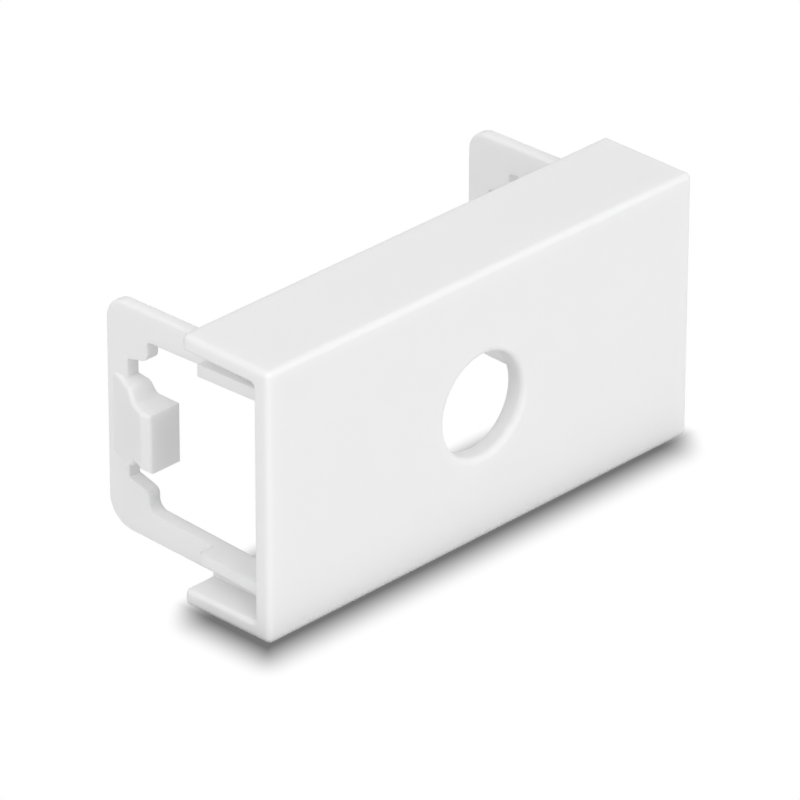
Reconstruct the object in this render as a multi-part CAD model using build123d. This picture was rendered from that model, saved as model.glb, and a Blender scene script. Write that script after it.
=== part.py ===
from build123d import *
import os

# Snap-in mounting module: a white moulded plate that fills half a module of a 45 mm system
# frame. A plate with one round cut-out, a long wall behind each of its long edges, and two
# latch ears that reach back past the walls.
#
# Millimetres. The origin is on the axis of the cut-out, in the front face. +X runs along
# the plate, +Y goes back into the frame and +Z is up. The part is the same on its left and
# its right, and the same above and below mid-height but for the ears' corner radii.

# Front plate
PLATE_LENGTH = 45.0
PLATE_HEIGHT = 22.4
PLATE_T = 1.55
FRONT_ROUND = 0.45

# Round cut-out
HOLE_D = 8.4
HOLE_ROUND = 0.5

# Long walls: each leans out by its draft on the way back
RIM_DEPTH = 8.6
WALL_T = 1.35
WALL_DRAFT = 0.05
INNER_ROUND = 0.4
WALL_END_ROUND = 0.35

# Latch ears, measured from the plate's ends and from its front face
EAR_INSET = 2.75
EAR_T = 1.1
EAR_DEPTH = 19.7
EAR_STEP = 0.2
EAR_TAPER = 0.2
EAR_TOP_ROUND = 1.9
EAR_BOTTOM_ROUND = 2.4
EAR_EDGE_ROUND = 0.3

# Window through each ear, from the plate back to the latch bar
WINDOW_HALF = 7.6
WINDOW_TAPER = 0.5
WINDOW_END = 15.3
WINDOW_TOP_ROUND = 0.3
WINDOW_BOTTOM_ROUND = 0.9

# Slots that free the latch tongue above and below
SLOT_HALF = 5.5
SLOT_TAPER = 0.55
SLOT_END = 17.4
SLOT_ROUND = 0.6

# Latch tongue and its wedge
TONGUE_FRONT = 13.15
TONGUE_HALF = 2.42
TONGUE_NECK = 15.45
NECK_LENGTH = 0.7
SHOULDER_HALF = 3.25
TONGUE_ROOT_HALF = 3.4
NECK_ROUND = 0.6
LATCH_PROUD = 1.9
LATCH_LAND = 1.0
LATCH_ROUND = 0.3
TOE_DEPTH = 19.0
TOE_BURIED = 0.1

# Root ledges on the outer side of each ear
LEDGE_WIDTH = 1.4
LEDGE_T = 1.0

# Places that follow from the sizes
EAR_OUTER = PLATE_LENGTH / 2 - EAR_INSET
EAR_INNER = EAR_OUTER - EAR_T
EAR_MIDDLE = EAR_OUTER - EAR_T / 2
LATCH_OUTER = EAR_OUTER + LATCH_PROUD
ROOT = PLATE_T / 2
WALL_MIDDLE = (PLATE_HEIGHT - WALL_T) / 2

# Margin used to pick faces and edges by place or direction
PICK = 0.01


def wall_outer(y):
    """Half height of the part over the long walls at depth y."""
    return PLATE_HEIGHT / 2 + WALL_DRAFT * y / RIM_DEPTH


def ear_half(y):
    """Half height of an ear at depth y behind the walls."""
    at_rim = wall_outer(RIM_DEPTH) - WALL_T - EAR_STEP
    return at_rim - EAR_TAPER * (y - RIM_DEPTH) / (EAR_DEPTH - RIM_DEPTH)


def window_half(y):
    """Half height of an ear's window at depth y."""
    return WINDOW_HALF - WINDOW_TAPER * (y - PLATE_T) / (WINDOW_END - PLATE_T)


def side_face(upper, lower):
    """Closed face in the side view from the (y, z, radius) corners of its two halves."""
    corners = upper + [(y, -z, radius) for y, z, radius in reversed(lower)]
    points = [(y, z) for y, z, _ in corners]
    radii = [radius for _, _, radius in corners]
    return make_face(Plane.YZ * FilletPolyline(*points, radius=radii, close=True))


def across(face, start, stop):
    """Solid of a side-view face between two places along X."""
    return Pos(start, 0, 0) * extrude(face, stop - start, dir=(1, 0, 0))


def channel():
    """Plate and long walls with the cut-out, before any edge is rounded."""
    outside = [(0, wall_outer(0), 0), (RIM_DEPTH, wall_outer(RIM_DEPTH), 0)]
    inside = [
        (PLATE_T, wall_outer(PLATE_T) - WALL_T, INNER_ROUND),
        (RIM_DEPTH, wall_outer(RIM_DEPTH) - WALL_T, 0),
    ]
    section = side_face(outside, outside) - side_face(inside, inside)
    cut_out = extrude(Plane.XZ * Circle(HOLE_D / 2), -PLATE_T)
    return across(section, -PLATE_LENGTH / 2, PLATE_LENGTH / 2) - cut_out


def front_shell():
    """Plate and long walls with rounded front edges, wall ends and cut-out."""
    shell = channel()
    front = shell.edges().filter_by_position(Axis.Y, -PICK, PICK)
    border = front - front.filter_by(GeomType.CIRCLE)
    wall_ends = shell.faces().filter_by(Plane.YZ).edges().filter_by(Axis.Y, tolerance=2)
    outer_ends = wall_ends.filter_by(lambda edge: abs(edge.center().Z) > WALL_MIDDLE)
    shell = fillet(border + outer_ends, FRONT_ROUND)
    wall_ends = shell.faces().filter_by(Plane.YZ).edges().filter_by(Axis.Y, tolerance=2)
    inner_ends = wall_ends.filter_by(lambda edge: abs(edge.center().Z) < WALL_MIDDLE)
    shell = fillet(inner_ends, WALL_END_ROUND)
    front = shell.edges().filter_by_position(Axis.Y, -PICK, PICK)
    return fillet(front.filter_by(GeomType.CIRCLE), HOLE_ROUND)


def tongue_face():
    """Side view of the latch tongue: narrow at its free end, wider past its neck."""
    half = [
        (TONGUE_FRONT, TONGUE_HALF, 0),
        (TONGUE_NECK, TONGUE_HALF, NECK_ROUND),
        (TONGUE_NECK + NECK_LENGTH, SHOULDER_HALF, NECK_ROUND),
        (SLOT_END, TONGUE_ROOT_HALF, 0),
        (EAR_DEPTH, TONGUE_ROOT_HALF, 0),
    ]
    return side_face(half, half)


def ear_outline():
    """Solid of the right ear's outline with its free edges rounded, and no openings."""
    in_wall = [
        (ROOT, wall_outer(ROOT) - WALL_T / 2, 0),
        (RIM_DEPTH, wall_outer(RIM_DEPTH) - WALL_T / 2, 0),
        (RIM_DEPTH, ear_half(RIM_DEPTH), 0),
    ]
    face = side_face(
        in_wall + [(EAR_DEPTH, ear_half(EAR_DEPTH), EAR_TOP_ROUND)],
        in_wall + [(EAR_DEPTH, ear_half(EAR_DEPTH), EAR_BOTTOM_ROUND)],
    )
    outline = across(face, EAR_INNER, EAR_OUTER)
    rims = outline.faces().filter_by(Plane.YZ).edges()
    return fillet(rims.filter_by(lambda edge: edge.center().Y > RIM_DEPTH + PICK), EAR_EDGE_ROUND)


def ear_blade():
    """Flat of the right ear, joined to the plate and walls, with its window and slots."""
    slots = [(WINDOW_END, SLOT_HALF, SLOT_ROUND), (SLOT_END, SLOT_HALF - SLOT_TAPER, 0)]
    opening = side_face(
        [(0, window_half(0), 0), (WINDOW_END, window_half(WINDOW_END), WINDOW_TOP_ROUND)] + slots,
        [(0, window_half(0), 0), (WINDOW_END, window_half(WINDOW_END), WINDOW_BOTTOM_ROUND)] + slots,
    )
    return ear_outline() - across(opening - tongue_face(), EAR_INNER, EAR_OUTER)


def latch_wedge():
    """Solid wedge on the right ear's tongue, with its catching shoulder facing forwards."""
    # The ramp runs on below the ear's face, so its rounded edges fade out at the toe.
    ramp_start = TONGUE_FRONT + LATCH_LAND
    ramp_end = TOE_DEPTH + TOE_BURIED * (TOE_DEPTH - ramp_start) / LATCH_PROUD
    plan = Polyline(
        (EAR_MIDDLE, TONGUE_FRONT),
        (LATCH_OUTER, TONGUE_FRONT),
        (LATCH_OUTER, ramp_start),
        (EAR_OUTER - TOE_BURIED, ramp_end),
        (EAR_MIDDLE, ramp_end),
        close=True,
    )
    ramp = extrude(make_face(plan), PLATE_HEIGHT / 2, both=True)
    wedge = ramp & across(tongue_face(), EAR_MIDDLE, LATCH_OUTER)
    rims = wedge.faces().filter_by(lambda face: face.normal_at().X > PICK).edges()
    behind_shoulder = rims.filter_by(Axis.Z).sort_by(Axis.Y)[1:]
    return fillet(rims - behind_shoulder, LATCH_ROUND)


def root_ledge():
    """Ledge on the right ear's outer side, in line with the top edge of its window."""
    face = side_face(
        [(ROOT, window_half(ROOT) + LEDGE_T, 0), (RIM_DEPTH, window_half(RIM_DEPTH) + LEDGE_T, 0)],
        [(ROOT, -window_half(ROOT), 0), (RIM_DEPTH, -window_half(RIM_DEPTH), 0)],
    )
    return across(face, EAR_MIDDLE, EAR_OUTER + LEDGE_WIDTH)


def module_plate():
    """The whole moulding, as one solid."""
    upper_ledge = root_ledge()
    ear = ear_blade() + latch_wedge() + upper_ledge + mirror(upper_ledge, Plane.XY)
    return front_shell() + ear + mirror(ear, Plane.YZ)


os.makedirs("parts", exist_ok=True)
export_step(module_plate(), "parts/module_plate.step")
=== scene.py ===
"""Looks of a snap-in mounting module: one white satin moulding on a pale studio floor.

The solid comes from the frame. This script dresses it, lights it and sets the camera. Lengths
are in metres unless a name ends in _mm, and the origin is the frame's own: on the axis of the
round cut-out, at the plate's front face, with +Z up.
"""

from dataclasses import dataclass, field
from enum import Enum
import logging
import math
from typing import Any

import bpy
from mathutils import Matrix, Vector


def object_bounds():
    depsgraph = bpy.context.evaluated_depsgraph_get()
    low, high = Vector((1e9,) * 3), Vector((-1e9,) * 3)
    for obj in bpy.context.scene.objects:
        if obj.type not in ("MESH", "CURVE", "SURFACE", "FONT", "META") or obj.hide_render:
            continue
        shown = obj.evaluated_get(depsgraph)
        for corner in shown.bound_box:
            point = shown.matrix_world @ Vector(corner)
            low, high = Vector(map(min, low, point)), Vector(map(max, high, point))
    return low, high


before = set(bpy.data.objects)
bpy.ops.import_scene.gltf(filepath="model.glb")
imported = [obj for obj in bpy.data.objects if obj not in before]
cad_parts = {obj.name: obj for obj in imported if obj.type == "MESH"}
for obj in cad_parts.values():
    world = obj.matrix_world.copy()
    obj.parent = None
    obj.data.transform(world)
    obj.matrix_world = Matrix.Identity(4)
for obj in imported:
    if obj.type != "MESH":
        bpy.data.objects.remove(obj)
CAD_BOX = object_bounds()

MM = 0.001
IMAGE_PIXELS = 800
SENSOR_MM = 36.0
WHITE = (1.0, 1.0, 1.0, 1.0)
WHITE_STRENGTH = 1.0
NOISE_MIDDLE = 0.5
LOG = logging.getLogger("scene")


class Node(Enum):
    """Names of the frame's nodes."""

    PLATE = "module_plate"


class Slot(Enum):
    """Names of the record's material slots."""

    PLASTIC = "white_plastic"


class Socket:
    """An output socket, with Python operators that add Math nodes."""

    def __init__(self, wiring: "Wiring", output: bpy.types.NodeSocket) -> None:
        """Wraps one output.

        Args:
            wiring: the tree that new nodes are added to.
            output: the socket to read.
        """
        self.wiring = wiring
        self.output = output

    def _math(self, operation: str, *values: Any) -> "Socket":
        """Adds one Math node.

        Args:
            operation: Blender's name of the operation.
            values: its numbers or sockets, in order.

        Returns:
            The node's result.
        """
        return self.wiring.add("ShaderNodeMath", {"operation": operation}, dict(enumerate(values)))

    def __add__(self, other: Any) -> "Socket":
        """Sum."""
        return self._math("ADD", self, other)

    def __radd__(self, other: Any) -> "Socket":
        """Sum, reflected."""
        return self._math("ADD", other, self)

    def __sub__(self, other: Any) -> "Socket":
        """Difference."""
        return self._math("SUBTRACT", self, other)

    def __rsub__(self, other: Any) -> "Socket":
        """Difference, reflected."""
        return self._math("SUBTRACT", other, self)

    def __mul__(self, other: Any) -> "Socket":
        """Product."""
        return self._math("MULTIPLY", self, other)

    def __rmul__(self, other: Any) -> "Socket":
        """Product, reflected."""
        return self._math("MULTIPLY", other, self)

    def __pow__(self, other: Any) -> "Socket":
        """Power."""
        return self._math("POWER", self, other)

    def __abs__(self) -> "Socket":
        """Size without its sign."""
        return self._math("ABSOLUTE", self)

    def at_least(self, lowest: float) -> "Socket":
        """Larger of the value and a limit."""
        return self._math("MAXIMUM", self, lowest)

    def eased(self, start: float, stop: float) -> "Socket":
        """Rise from 0 to 1, smooth at both of its ends.

        Args:
            start: where the rise begins.
            stop: where it ends.

        Returns:
            The eased value.
        """
        settings = {"interpolation_type": "SMOOTHSTEP"}
        return self.wiring.add("ShaderNodeMapRange", settings, {0: self, 1: start, 2: stop})


class Wiring:
    """A node tree that is filled by one method."""

    def __init__(self, tree: bpy.types.NodeTree) -> None:
        """Empties a tree and keeps it.

        Args:
            tree: the node tree of a material or a world.
        """
        self.tree = tree
        tree.nodes.clear()

    def add(
        self,
        kind: str,
        settings: dict[str, Any] | None = None,
        inputs: dict[int | str, Any] | None = None,
        result: int | str = 0,
    ) -> Socket:
        """Adds a node.

        Args:
            kind: the node's type.
            settings: properties that are set first.
            inputs: values, or sockets to link, by the input's name or place.
            result: which output is returned.

        Returns:
            The chosen output.
        """
        node = self.tree.nodes.new(kind)
        for name, value in (settings or {}).items():
            setattr(node, name, value)
        for name, value in (inputs or {}).items():
            if isinstance(value, Socket):
                self.tree.links.new(value.output, node.inputs[name])
            else:
                node.inputs[name].default_value = value
        return Socket(self, node.outputs[result]) if len(node.outputs) else Socket(self, None)

    def place(self) -> Socket:
        """Adds the object coordinates."""
        return self.add("ShaderNodeTexCoord", result="Object")

    def along_and_back_mm(self) -> tuple[Socket, Socket]:
        """Adds the place along the plate and back from its front face, in millimetres.

        Returns:
            The two distances.
        """
        x = self.add("ShaderNodeSeparateXYZ", inputs={0: self.place()})
        y = Socket(self, x.output.node.outputs["Y"])
        return x * (1.0 / MM), y * (1.0 / MM)

    def seen(self) -> Socket:
        """Adds the test for rays that show the background: the camera's, and those in gloss or glass.

        Returns:
            1 for such a ray and 0 for any other.
        """
        camera = self.add("ShaderNodeLightPath", result="Is Camera Ray")
        outputs = camera.output.node.outputs
        return camera + Socket(self, outputs["Is Glossy Ray"]) + Socket(self, outputs["Is Transmission Ray"])


@dataclass(frozen=True)
class SatinPlastic:
    """White ABS from a finely eroded mould: satin, faintly uneven, and a little translucent."""

    name: str = "satin_white_abs"
    tint: tuple[float, float, float] = (0.90, 0.90, 0.90)
    shade_swing: float = 0.012
    roughness: float = 0.55
    roughness_swing: float = 0.08
    refraction: float = 1.5
    gloss_level: float = 0.3
    grain_mm: float = 0.09
    grain_layers: float = 2.0
    grain_height_mm: float = 0.0016
    flow_mm: float = 9.0
    flow_layers: float = 3.0
    layer_strength: float = 0.5
    edge_round_mm: float = 0.1
    edge_samples: int = 6
    translucency: float = 0.8
    scatter_mm: float = 0.8
    scatter_spread: tuple[float, float, float] = (1.0, 1.0, 1.0)

    def build(self) -> bpy.types.Material:
        """Makes the material.

        Returns:
            The material, with its nodes.
        """
        material = bpy.data.materials.new(self.name)
        material.use_nodes = True
        wiring = Wiring(material.node_tree)
        place = wiring.place()
        flow = self._noise(wiring, place, self.flow_mm, self.flow_layers)
        grain = self._noise(wiring, place, self.grain_mm, self.grain_layers)
        flow_swing = (flow - NOISE_MIDDLE) * self.roughness_swing
        grain_swing = (grain - NOISE_MIDDLE) * self.roughness_swing
        surface = {
            "Base Color": self._colour(wiring, flow - NOISE_MIDDLE),
            "Roughness": flow_swing + grain_swing + self.roughness,
            "Normal": self._relief(wiring, grain),
            "IOR": self.refraction,
            "Specular IOR Level": self.gloss_level,
            "Subsurface Weight": self.translucency,
            "Subsurface Radius": self.scatter_spread,
            "Subsurface Scale": self.scatter_mm * MM,
        }
        shader = wiring.add("ShaderNodeBsdfPrincipled", inputs=surface)
        wiring.add("ShaderNodeOutputMaterial", inputs={"Surface": shader})
        return material

    def _colour(self, wiring: Wiring, flow: Socket) -> Socket:
        """Adds the colour, which drifts a little with the way the plastic flowed.

        Args:
            wiring: the material's tree.
            flow: the flow pattern, about 0.

        Returns:
            The colour.
        """
        shade = flow * self.shade_swing
        grey = wiring.add("ShaderNodeCombineXYZ", inputs={"X": shade, "Y": shade, "Z": shade})
        return wiring.add("ShaderNodeVectorMath", {"operation": "ADD"}, {0: self.tint, 1: grey})

    def _relief(self, wiring: Wiring, grain: Socket) -> Socket:
        """Adds the normals: edges a little round, and the fine grain of the mould.

        Args:
            wiring: the material's tree.
            grain: the grain pattern, from 0 to 1.

        Returns:
            The normal.
        """
        radius = self.edge_round_mm * MM
        edges = wiring.add("ShaderNodeBevel", {"samples": self.edge_samples}, {"Radius": radius})
        height = self.grain_height_mm * MM
        return wiring.add("ShaderNodeBump", inputs={"Distance": height, "Height": grain, "Normal": edges})

    def _noise(self, wiring: Wiring, place: Socket, size_mm: float, layers: float) -> Socket:
        """Adds noise with features of a given size.

        Args:
            wiring: the material's tree.
            place: the object coordinates.
            size_mm: the size of one feature.
            layers: how many finer layers it has.

        Returns:
            The noise, from 0 to 1.
        """
        scale = 1.0 / (size_mm * MM)
        inputs = {"Vector": place, "Scale": scale, "Detail": layers, "Roughness": self.layer_strength}
        return wiring.add("ShaderNodeTexNoise", inputs=inputs)


@dataclass
class Moulding:
    """The one piece of the object, as it left its mould."""

    finish: SatinPlastic = field(default_factory=SatinPlastic)

    def build(self) -> bpy.types.Object:
        """Gives the frame's node its finish.

        Returns:
            The dressed node.
        """
        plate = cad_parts[Node.PLATE.value]
        plate.data.materials.clear()
        plate.data.materials.append(self.finish.build())
        return plate


@dataclass(frozen=True)
class PaintedContactShadow:
    """Painted shadow: a soft dark rim painted into the floor's colour around the foot of the lower wall, by
    distance from its footprint.

    It is even along the front and the left end, with a squarish corner between them. It fades
    sooner at the right end, and towards the back beside the ears.
    """

    start_mm: float = -1.4
    end_mm: float = 3.85
    left_mm: float = 0.25
    right_inset_mm: float = 3.0
    back_mm: float = 5.5
    middle_back_mm: float = 7.6
    middle_from_mm: float = 16.0
    middle_to_mm: float = 20.0
    fade_per_mm: float = 0.2
    corner_power: float = 4.0

    def light(self, wiring: Wiring) -> Socket:
        """Adds the painted shadow: how far the floor's colour is darkened at each place, by distance from the
        footprint.

        Args:
            wiring: the floor material's tree.

        Returns:
            0 where the painted shadow is darkest and 1 where the floor is clear.
        """
        # Painted shadow: worked out from the footprint's edges, not cast by any lamp.
        x, y = wiring.along_and_back_mm()
        left = (CAD_BOX[0].x / MM - self.left_mm - x).at_least(0.0)
        right = (x - (CAD_BOX[1].x / MM - self.right_inset_mm)).at_least(0.0)
        front = (0.0 - y).at_least(0.0)
        beside = abs(x).eased(self.middle_from_mm, self.middle_to_mm)
        back = self.middle_back_mm - beside * (self.middle_back_mm - self.back_mm)
        behind = (y - back).at_least(0.0)
        corner = (left**self.corner_power + front**self.corner_power) ** (1.0 / self.corner_power)
        fade = (right * right + behind * behind) * self.fade_per_mm
        return (corner + fade).eased(self.start_mm, self.end_mm)


@dataclass(frozen=True)
class Lamp:
    """One large soft lamp that faces the object."""

    name: str
    azimuth: float
    elevation: float
    watts: float
    size: float = 0.6
    distance: float = 1.0

    def build(self) -> None:
        """Hangs the lamp: azimuth 0 is in front of the plate and 90 to its right."""
        turn, lift = math.radians(self.azimuth), math.radians(self.elevation)
        level = math.cos(lift)
        toward = Vector((math.sin(turn) * level, -math.cos(turn) * level, math.sin(lift)))
        data = bpy.data.lights.new(self.name, "AREA")
        data.shape = "DISK"
        data.size = self.size
        data.energy = self.watts
        lamp = bpy.data.objects.new(self.name, data)
        lamp.location = toward * self.distance
        lamp.rotation_euler = toward.to_track_quat("Z", "Y").to_euler()
        # Gloss shows the white surroundings and no lamp, so faces seen at a low angle don't clip.
        lamp.visible_glossy = False
        bpy.context.scene.collection.objects.link(lamp)


@dataclass
class Studio:
    """Pale floor with a painted contact shadow, even sky and soft lamps."""

    floor_size: float = 6.0
    floor_reflectance: float = 0.86
    sky: float = 0.50
    painted_shadow: PaintedContactShadow = field(default_factory=PaintedContactShadow)
    lamps: tuple[Lamp, ...] = (
        Lamp("front_lamp", azimuth=10.0, elevation=18.0, watts=2.40),
        Lamp("top_lamp", azimuth=-25.0, elevation=60.0, watts=2.25),
        Lamp("left_lamp", azimuth=-95.0, elevation=35.0, watts=2.38),
    )

    def build(self, ground: float) -> None:
        """Makes the floor, the sky and the lamps.

        Args:
            ground: the height of the surface that the object stands on.
        """
        self._floor(ground)
        self._sky()
        for lamp in self.lamps:
            lamp.build()

    def _floor(self, ground: float) -> None:
        """Lays the floor.

        Args:
            ground: its height.
        """
        half = self.floor_size / 2
        mesh = bpy.data.meshes.new("floor")
        corners = [(-half, -half, ground), (half, -half, ground), (half, half, ground), (-half, half, ground)]
        mesh.from_pydata(corners, [], [(0, 1, 2, 3)])
        floor = bpy.data.objects.new("floor", mesh)
        bpy.context.scene.collection.objects.link(floor)
        mesh.materials.append(self._floor_paint())

    def _floor_paint(self) -> bpy.types.Material:
        """Makes the floor's paint: white to the camera, with the painted contact shadow darkening its colour
        both as seen and as it reflects light.

        Returns:
            The material.
        """
        material = bpy.data.materials.new("floor_paint")
        material.use_nodes = True
        wiring = Wiring(material.node_tree)
        light = self.painted_shadow.light(wiring)
        # Painted shadow: the same darkening goes into the colour the floor reflects and into the white it
        # shows the camera.
        lit = wiring.add("ShaderNodeBsdfDiffuse", inputs={"Color": light * self.floor_reflectance})
        seen = wiring.add("ShaderNodeEmission", inputs={"Color": light, "Strength": WHITE_STRENGTH})
        both = wiring.add("ShaderNodeMixShader", inputs={0: wiring.seen(), 1: lit, 2: seen})
        wiring.add("ShaderNodeOutputMaterial", inputs={"Surface": both})
        return material

    def _sky(self) -> None:
        """Makes an even sky that the camera sees as white."""
        world = bpy.data.worlds.new("studio_sky")
        bpy.context.scene.world = world
        world.use_nodes = True
        wiring = Wiring(world.node_tree)
        light = wiring.add("ShaderNodeBackground", inputs={"Color": WHITE, "Strength": self.sky})
        seen = wiring.add("ShaderNodeBackground", inputs={"Color": WHITE, "Strength": WHITE_STRENGTH})
        both = wiring.add("ShaderNodeMixShader", inputs={0: wiring.seen(), 1: light, 2: seen})
        wiring.add("ShaderNodeOutputWorld", inputs={"Surface": both})


@dataclass(frozen=True)
class Camera:
    """The photograph's viewpoint, fitted to the plate's edges."""

    azimuth: float = -45.814
    elevation: float = 28.458
    roll: float = 0.160
    distance_mm: float = 562.07
    focal_pixels: float = 7538.66
    target_mm: tuple[float, float, float] = (0.0, 8.0, 0.05)
    target_pixel: tuple[float, float] = (406.916, 369.303)
    clip_from: float = 0.01
    clip_to: float = 100.0

    def build(self) -> bpy.types.Object:
        """Makes the camera.

        Returns:
            The camera, set as the scene's own.
        """
        turn, lift, roll = (math.radians(angle) for angle in (self.azimuth, self.elevation, self.roll))
        level = math.cos(lift)
        right = Vector((math.cos(turn), math.sin(turn), 0.0))
        back = Vector((math.sin(turn) * level, -math.cos(turn) * level, math.sin(lift)))
        up = back.cross(right)
        right, up = (
            right * math.cos(roll) + up * math.sin(roll),
            up * math.cos(roll) - right * math.sin(roll),
        )
        centre = IMAGE_PIXELS / 2
        mm_per_pixel = self.distance_mm / self.focal_pixels
        aside = (self.target_pixel[0] - centre) * mm_per_pixel
        above = (centre - self.target_pixel[1]) * mm_per_pixel
        place = Vector(self.target_mm) - right * aside - up * above + back * self.distance_mm
        data = bpy.data.cameras.new("camera")
        data.sensor_width = SENSOR_MM
        data.lens = self.focal_pixels * SENSOR_MM / IMAGE_PIXELS
        data.clip_start = self.clip_from
        data.clip_end = self.clip_to
        camera = bpy.data.objects.new("camera", data)
        facing = Matrix((right, up, back)).transposed().to_4x4()
        camera.matrix_world = Matrix.Translation(place * MM) @ facing
        bpy.context.scene.collection.objects.link(camera)
        bpy.context.scene.camera = camera
        return camera


def main() -> None:
    """Builds the scene in order and reports each piece."""
    logging.basicConfig(level=logging.INFO, format="%(message)s")
    bpy.context.scene.view_settings.view_transform = "Standard"
    piece = Moulding().build()
    LOG.info("dressed %s, %d faces", piece.name, len(piece.data.polygons))
    Studio().build(ground=CAD_BOX[0].z)
    LOG.info("built the studio")
    Camera().build()
    LOG.info("set the camera")


if __name__ == "__main__":
    main()
